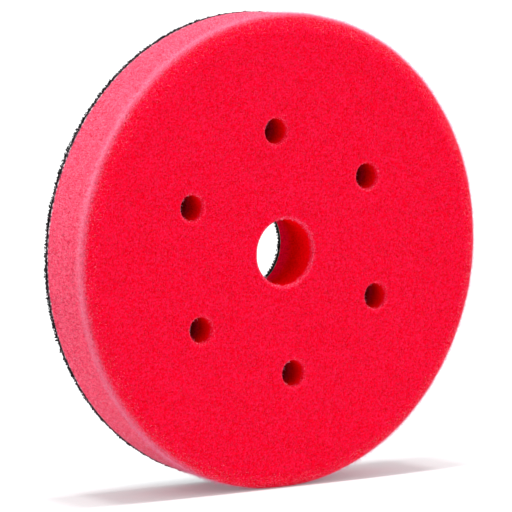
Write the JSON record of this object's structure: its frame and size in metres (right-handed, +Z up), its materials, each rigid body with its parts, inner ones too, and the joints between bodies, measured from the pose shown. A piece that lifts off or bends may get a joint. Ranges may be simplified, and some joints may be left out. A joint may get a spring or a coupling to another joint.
{
  "type": "foam polishing pad",
  "caption": "Round foam polishing pad with a rounded working edge, a centre hole, a ring of small holes and a loop fabric back that grips a backing plate.",
  "frame": {"origin": "on the spin axis, in the plane of the loop face", "axes": "+Y along the spin axis, out of the loop face towards the machine; the working face looks towards -Y; +Z up, with the pad standing on its rim"},
  "size_m": [0.1546, 0.025, 0.1546],
  "materials": {
    "foam": "matte",
    "film": "satin",
    "loop": "matte"
  },
  "bodies": {
    "root": {"foam_pad": "foam", "adhesive_film": "film", "loop_fabric": "loop"}
  },
  "joints": []
}
